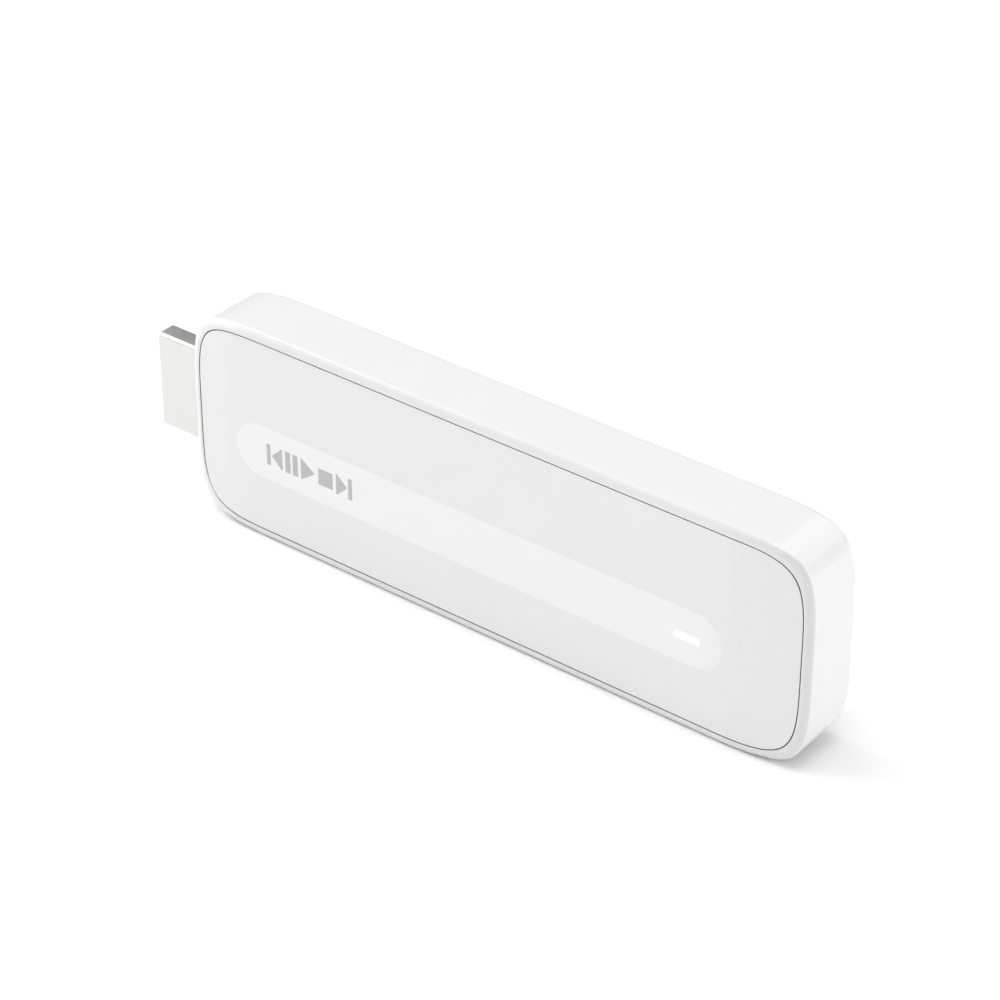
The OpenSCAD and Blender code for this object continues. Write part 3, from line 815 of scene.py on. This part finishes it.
def bright_nickel():
    """Nickel over rolled steel: fine rolling lines along the plug, and small stains that dull it."""
    finish = Finish("bright_nickel", (0.70, 0.70, 0.695), 0.22, Metallic=1.0)
    lines = finish.noise(0.05 * mm, 3, stretch=(60, 1, 1))
    stain = finish.noise(2.5 * mm, 4)
    finish.use(
        Base_Color=finish.blend(stain, (0.675, 0.675, 0.67), (0.73, 0.73, 0.725)),
        Roughness=lines * 0.1 + stain * 0.12 + 0.12,
    )
    finish.bump(lines, 0.002 * mm)
    return finish.material


nickel = bright_nickel()
settle(plug_tube().make("plug_shell"), "case", "plug_nickel", nickel, "hdmi_plug_shell")

# ---------------------------------------------------------------------------------------------
# Power socket: a drawn steel shell, set back a little in its window, with a black tongue and gold
# pads inside.
# ---------------------------------------------------------------------------------------------
def socket_tube():
    """The socket's stadium carried upwards from its mouth, grown by so much at each step: outer face,
    rolled mouth, inner face, closed at the back, and four feet that stand on the board."""
    mouth_z, rear_z = (corner[2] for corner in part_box("power_socket_shell"))
    sheet, lip, bevel = 0.25 * mm, 0.11 * mm, 0.3 * mm
    turn = np.linspace(0, math.pi / 2, 5)
    path = [(rear_z, -bevel), (rear_z - bevel, 0), (mouth_z + lip * 1.4, 0)]
    path += [(mouth_z + lip * (1 - math.sin(a)), -lip * (1 - math.cos(a))) for a in turn]
    path += [(mouth_z + lip * (1 - math.cos(a)), -sheet + lip * (1 - math.sin(a))) for a in turn]
    path += [(mouth_z + 0.5 * mm, -sheet), (rear_z - sheet, -sheet)]
    solid = Solid()
    rings = []
    for z, grow in path:
        loop = socket_loop(grow)
        x = case_mid[0] + socket_x + loop[:, 0]
        y = case_mid[1] + plug_y + loop[:, 1]
        rings.append(solid.add(np.stack([x, y, np.full(len(loop), z)], axis=-1)))
    solid.tube(rings)
    solid.cap(rings[0])
    solid.cap(rings[-1])
    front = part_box("main_board")[0][1] - case_mid[1]
    foot_in, foot_out, foot_w, foot_t = 4.1 * mm, 5.57 * mm, 1.5 * mm, 0.3 * mm
    for side in (-1, 1):
        for rise in (1.9 * mm, 4.9 * mm):
            z = mouth_z - case_mid[2] + rise
            inner = np.array([socket_x + side * foot_in, front - foot_t, z])
            block(solid, inner, np.array([socket_x + side * foot_out, front, z + foot_w]))
    return solid


def drawn_steel():
    """Plated stainless steel, drawn and a little dull."""
    finish = Finish("drawn_steel", (0.72, 0.71, 0.70), 0.3, Metallic=1.0)
    lines = finish.noise(0.05 * mm, 2, stretch=(1, 1, 40))
    cloud = finish.noise(1.5 * mm, 3)
    finish.use(
        Base_Color=finish.blend(cloud, (0.66, 0.655, 0.645), (0.77, 0.765, 0.755)),
        Roughness=lines * 0.12 + cloud * 0.1 + 0.2,
    )
    finish.bump(lines, 0.002 * mm)
    return finish.material


steel = drawn_steel()
settle(socket_tube().make("socket_shell"), "case", "socket_steel", steel, "power_socket_shell")

# ---------------------------------------------------------------------------------------------
# Reset button: a small white moulding in the finger dish. Its face is dished a little, and its
# flange keeps it in the case.
# ---------------------------------------------------------------------------------------------
def button_cap():
    """A turned shape: a parabolic dish in the face, dish * (1 - (r / 1.3)^2) deep at radius r, the face's
    rounded edge, the stem, and the flange with its bevels."""
    low, high = (np.array(corner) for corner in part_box("reset_button"))
    centre = (low + high) / 2
    face_r, flange_r = 1.5 * mm, (high - low)[0] / 2
    flange_z = high[2] - 0.6 * mm
    turn = np.linspace(0, math.pi / 2, 6)
    edge, dish, bevel = 0.18 * mm, 0.12 * mm, 0.1 * mm
    face = [(r * mm, low[2] + dish * (1 - (r / 1.3) ** 2)) for r in (0.05, 0.3, 0.6, 0.9, 1.15)]
    rounding = [(face_r - edge * (1 - math.sin(a)), low[2] + edge * (1 - math.cos(a))) for a in turn]
    flange = [
        (face_r, flange_z), (flange_r - bevel, flange_z), (flange_r, flange_z + bevel),
        (flange_r, high[2] - bevel), (flange_r - bevel, high[2]), (0.3 * mm, high[2]),
    ]
    solid = Solid()
    lathe(solid, face + rounding + flange, (centre[0], centre[1], 0), (0, 0, 1), 64)
    return solid


settle(button_cap().make("button_cap"), "button", "case_white", case_white, "reset_button")

# ---------------------------------------------------------------------------------------------
# Inner parts: the nodes that keep their designed shape, each with the finish of the real part.
# ---------------------------------------------------------------------------------------------
def coat(finish, *names):
    """Gives nodes that keep their designed shape a material."""
    for name in names:
        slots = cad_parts[name].data.materials
        slots.clear()
        slots.append(finish)


def speckled(name, dark, light, size, roughness, depth, **settings):
    """A finish that varies between two colours over patches of one size, with a bump of full height depth
    and a grain a tenth of the patches' size."""
    finish = Finish(name, light, roughness, **settings)
    patch = finish.noise(size, 3)
    grain = finish.noise(size / 10, 2)
    finish.use(
        Base_Color=finish.blend(patch, dark, light),
        Roughness=patch * 0.1 + grain * 0.1 + (roughness - 0.1),
    )
    finish.bump(grain * 0.7 + patch * 0.3, depth)
    return finish.material


def solder_mask():
    """Green lacquer over copper tracks, a shade lighter and proud: slanting bands where a triangle wave
    is above 0.62, in the patches where slow noise is above 0.5."""
    finish = Finish("solder_mask", (0.02, 0.16, 0.07), 0.3)
    wander = finish.noise(7 * mm, 1)
    settings = {"bands_direction": "DIAGONAL", "wave_profile": "TRI"}
    sockets = {"Scale": 1 / (2.2 * mm), "Distortion": 3.0, "Detail": 0.0, "Detail Scale": 0.3}
    sockets["Vector"] = finish.place()
    stripes = finish.node("ShaderNodeTexWave", settings, sockets, "Fac")
    track = stripes.math("GREATER_THAN", 0.62) * wander.math("GREATER_THAN", 0.5)
    finish.use(Base_Color=finish.blend(track, (0.015, 0.13, 0.055), (0.04, 0.25, 0.11)))
    finish.bump(track, 0.03 * mm)
    return finish.material


metal = {"Metallic": 1.0}
black_plastic = speckled("black_plastic", (0.02, 0.02, 0.02), (0.035, 0.035, 0.035), 2 * mm, 0.45, 0.004 * mm)
gold = speckled("gold_plate", (0.83, 0.60, 0.25), (0.92, 0.70, 0.34), 0.6 * mm, 0.25, 0.001 * mm, **metal)
resin = speckled("black_resin", (0.03, 0.03, 0.032), (0.055, 0.055, 0.058), 1.5 * mm, 0.55, 0.01 * mm)
tin = speckled("tin_plate", (0.62, 0.62, 0.60), (0.74, 0.74, 0.72), 4 * mm, 0.35, 0.004 * mm, **metal)
rolled = speckled(
    "rolled_aluminium", (0.74, 0.75, 0.76), (0.84, 0.85, 0.86), 5 * mm, 0.35, 0.004 * mm, **metal
)
zinc = speckled("zinc_plate", (0.58, 0.59, 0.60), (0.70, 0.71, 0.72), 1 * mm, 0.35, 0.004 * mm, **metal)
ferrite = speckled("pressed_powder", (0.12, 0.12, 0.125), (0.20, 0.20, 0.21), 0.8 * mm, 0.6, 0.02 * mm)
tantalum = speckled("yellow_resin", (0.70, 0.42, 0.08), (0.82, 0.53, 0.13), 1 * mm, 0.5, 0.006 * mm)
ceramic = speckled("fired_ceramic", (0.42, 0.31, 0.20), (0.56, 0.43, 0.30), 0.4 * mm, 0.5, 0.004 * mm)
silicone = speckled("filled_silicone", (0.45, 0.57, 0.66), (0.56, 0.68, 0.76), 1.2 * mm, 0.75, 0.03 * mm)
lamp = speckled("lamp_resin", (0.85, 0.82, 0.66), (0.93, 0.91, 0.80), 0.5 * mm, 0.3, 0.002 * mm)
mask = solder_mask()
coat(black_plastic, "hdmi_plug_insulator", "power_socket_tongue", "switch_plunger")
coat(gold, "hdmi_plug_contacts", "power_socket_contacts")
coat(resin, "processor_chip", "memory_chips", "storage_chip", "power_chip", "protection_chips")
coat(tin, "shield_fence", "shield_lid", "wireless_shield", "wifi_antenna", "bluetooth_antenna", "crystal")
coat(rolled, "heat_spreader")
coat(zinc, "board_screws", "tact_switch")
coat(ferrite, "power_inductors")
coat(tantalum, "bulk_capacitors")
coat(ceramic, "ceramic_capacitors")
coat(silicone, "chip_thermal_pad", "lid_thermal_pad")
coat(lamp, "status_led")
coat(mask, "main_board", "wireless_module")

# ---------------------------------------------------------------------------------------------
# Studio: a pale floor, soft lights from both sides, above and behind, and a long lens that looks
# down on the stick from beyond its far end.
# ---------------------------------------------------------------------------------------------
def pale_floor():
    """A matt sheet, a hair below the stick so that the two surfaces don't coincide."""
    floor_mesh = bpy.data.meshes.new("floor")
    reach, level = 3.0, -0.02 * mm
    corners = [(x * reach, y * reach, level) for x, y in ((-1, -1), (1, -1), (1, 1), (-1, 1))]
    floor_mesh.from_pydata(corners, [], [(0, 1, 2, 3)])
    floor = bpy.data.objects.new("floor", floor_mesh)
    bpy.context.scene.collection.objects.link(floor)
    finish = Finish("pale_floor", (0.92, 0.92, 0.92), 0.8)
    floor_mesh.materials.append(finish.material)


def soft_light(name, turn, rise, power, width=1.0):
    """A square area light 1.6 m from the stick, turned from the front towards the far end and raised from
    the floor by so many degrees."""
    away = 1.6
    data = bpy.data.lights.new(name, "AREA")
    data.size = width
    data.energy = power
    light = bpy.data.objects.new(name, data)
    bpy.context.scene.collection.objects.link(light)
    turn, rise = math.radians(turn), math.radians(rise)
    way = Vector((math.sin(turn) * math.cos(rise), -math.cos(turn) * math.cos(rise), math.sin(rise)))
    light.location = way * away
    light.rotation_euler = (-way).to_track_quat("-Z", "Y").to_euler()
    light.visible_camera = False


pale_floor()
world = bpy.data.worlds.new("studio")
bpy.context.scene.world = world
world.use_nodes = True
world.node_tree.nodes["Background"].inputs["Color"].default_value = (1, 1, 1, 1)
world.node_tree.nodes["Background"].inputs["Strength"].default_value = 0.25
soft_light("low_left", -60, 12, 7.2)
soft_light("main_left", -75, 35, 11.8)
soft_light("plug_side", -110, 35, 4.8)
soft_light("high_left", -30, 62, 1.6)
soft_light("high_right", 30, 62, 4.6)
soft_light("overhead", 0, 90, 8.4)
soft_light("low_right", 110, 12, 13.9)
soft_light("back_panel", 165, 40, 4.5, 1.3)

# The camera's place: round from the front, up from the floor and away from the stick, with a shift
# beside and above the point that it is turned about.
azimuth, elevation, roll = math.radians(38.167), math.radians(32.6), math.radians(0.083)
distance = 389.73 * mm
aim_right, aim_up, aim_front = -0.677 * mm, 1.877 * mm, 0.28 * mm
back = np.array([
    math.sin(azimuth) * math.cos(elevation), -math.cos(azimuth) * math.cos(elevation), math.sin(elevation)
])
sideways = np.array([math.cos(azimuth), math.sin(azimuth), 0])
upright = np.cross(back, sideways)
right = math.cos(roll) * sideways + math.sin(roll) * upright
up = -math.sin(roll) * sideways + math.cos(roll) * upright
target = case_mid + np.array([0, -aim_front, 0])
eye = target + back * distance + right * aim_right + up * aim_up
camera_data = bpy.data.cameras.new("camera")
camera_data.lens = 114.22
camera_data.sensor_width = 36
camera_data.clip_start, camera_data.clip_end = 0.01, 20
camera = bpy.data.objects.new("camera", camera_data)
bpy.context.scene.collection.objects.link(camera)
camera.matrix_world = Matrix([
    [*row, place] for row, place in zip(np.stack([right, up, back], axis=1), eye)
] + [[0, 0, 0, 1]])
bpy.context.scene.camera = camera
bpy.context.scene.view_settings.view_transform = "Standard"
